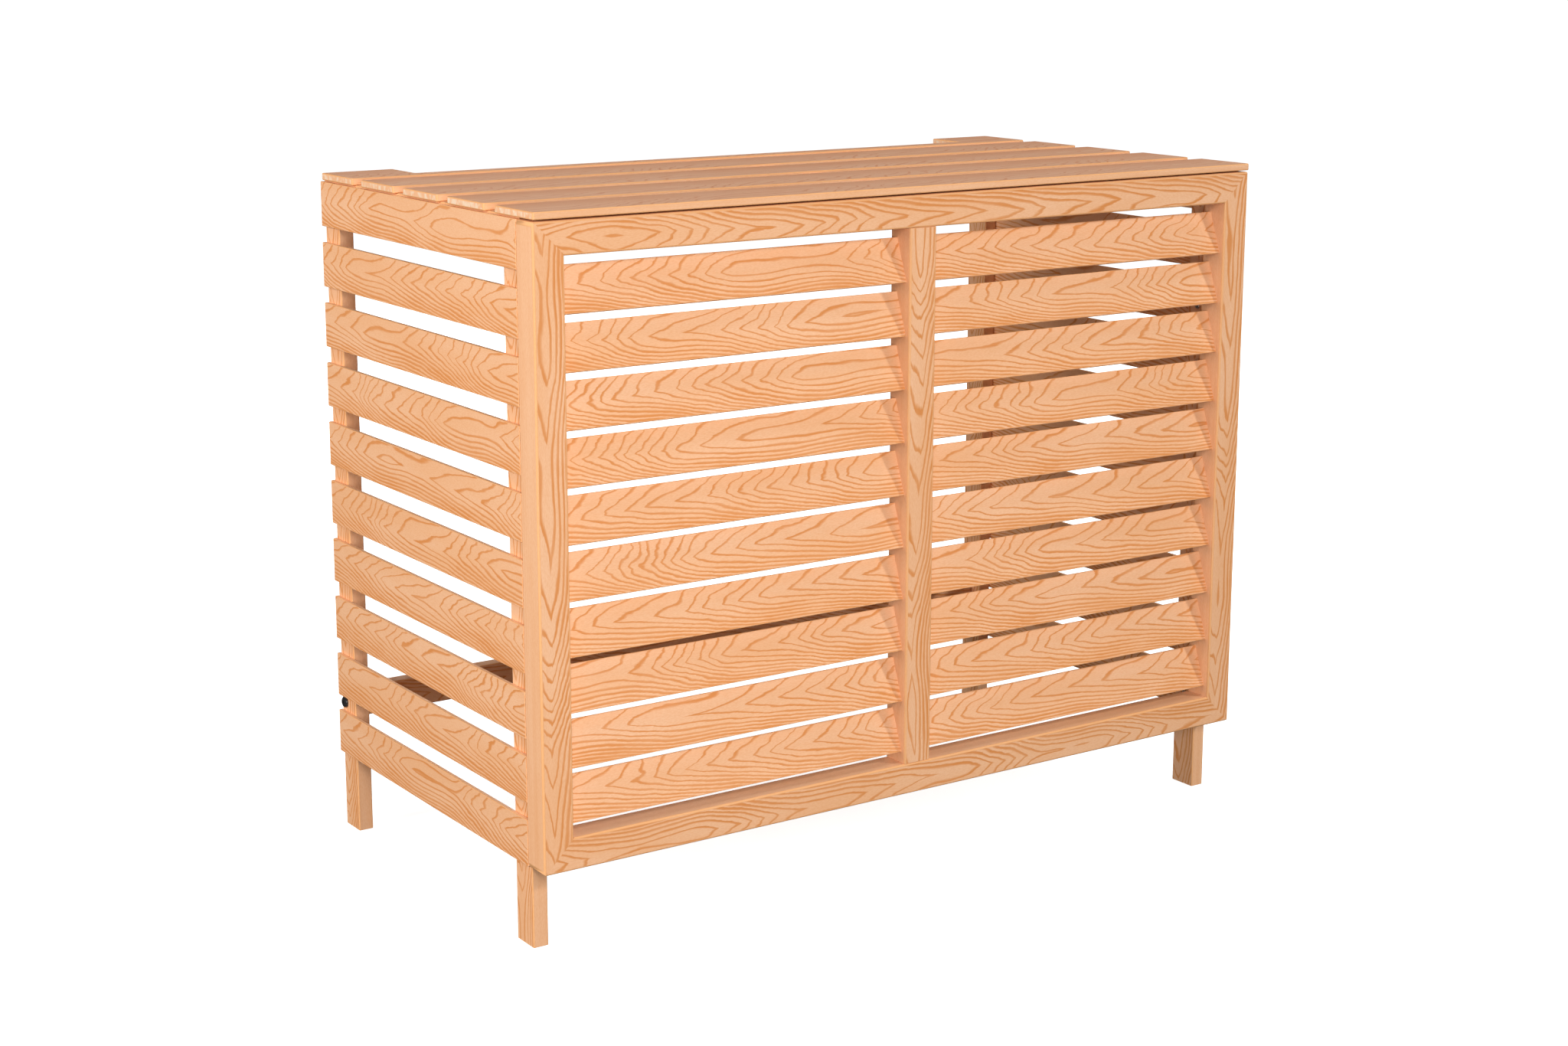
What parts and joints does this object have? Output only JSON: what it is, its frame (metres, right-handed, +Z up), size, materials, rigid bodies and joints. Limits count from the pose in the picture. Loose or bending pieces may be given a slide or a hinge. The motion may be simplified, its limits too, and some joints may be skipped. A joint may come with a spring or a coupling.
{
  "type": "slatted cover for an outdoor air-conditioning unit",
  "caption": "Box-shaped timber cover for an outdoor air-conditioning unit: louvred front in a mitred frame, slatted sides, boarded top with a pipe notch, open back and base, on straight legs.",
  "frame": {"origin": "on the ground under the middle of the whole cover's box, with the feet on Z = 0", "axes": "+X to the right along the front, +Y from the louvred front to the open back, +Z up"},
  "size_m": [1.08, 0.5656, 0.875],
  "materials": {
    "frame_wood": "satin wood-grain finish, peach to light oak with darker orange-brown grain, eased edges",
    "louvre_wood": "satin wood-grain finish with flame figure along the length",
    "slat_wood": "satin wood-grain finish with flame figure along the length",
    "board_wood": "satin wood-grain finish, smooth sealed ends and eased edges",
    "batten_wood": "satin wood-grain finish on the wide faces, plain narrow faces",
    "black_steel": "gloss black button-head bolts with a hexagon socket",
    "screw_steel": "plain pan-head screws"
  },
  "bodies": {
    "root": {"front_left_stile": "frame_wood", "front_right_stile": "frame_wood", "front_top_rail": "frame_wood", "front_bottom_rail": "frame_wood", "middle_post": "frame_wood", "left_louvre_01": "louvre_wood", "left_louvre_02": "louvre_wood", "left_louvre_03": "louvre_wood", "left_louvre_04": "louvre_wood", "left_louvre_05": "louvre_wood", "left_louvre_06": "louvre_wood", "left_louvre_07": "louvre_wood", "left_louvre_08": "louvre_wood", "left_louvre_09": "louvre_wood", "left_louvre_10": "louvre_wood", "right_louvre_01": "louvre_wood", "right_louvre_02": "louvre_wood", "right_louvre_03": "louvre_wood", "right_louvre_04": "louvre_wood", "right_louvre_05": "louvre_wood", "right_louvre_06": "louvre_wood", "right_louvre_07": "louvre_wood", "right_louvre_08": "louvre_wood", "right_louvre_09": "louvre_wood", "right_louvre_10": "louvre_wood", "left_side_slat_01": "slat_wood", "left_side_slat_02": "slat_wood", "left_side_slat_03": "slat_wood", "left_side_slat_04": "slat_wood", "left_side_slat_05": "slat_wood", "left_side_slat_06": "slat_wood", "left_side_slat_07": "slat_wood", "left_side_slat_08": "slat_wood", "left_side_slat_09": "slat_wood", "left_side_slat_10": "slat_wood", "right_side_slat_01": "slat_wood", "right_side_slat_02": "slat_wood", "right_side_slat_03": "slat_wood", "right_side_slat_04": "slat_wood", "right_side_slat_05": "slat_wood", "right_side_slat_06": "slat_wood", "right_side_slat_07": "slat_wood", "right_side_slat_08": "slat_wood", "right_side_slat_09": "slat_wood", "right_side_slat_10": "slat_wood", "top_board_1": "board_wood", "top_board_2": "board_wood", "top_board_3": "board_wood", "top_board_4": "board_wood", "top_board_5": "board_wood", "front_left_leg": "batten_wood", "front_right_leg": "batten_wood", "rear_left_leg": "batten_wood", "rear_right_leg": "batten_wood", "rear_lower_rail": "batten_wood", "rear_upper_rail": "batten_wood", "side_bearers": "batten_wood", "middle_bearer": "batten_wood", "assembly_bolts": "black_steel", "inside_screws": "screw_steel"}
  },
  "joints": []
}
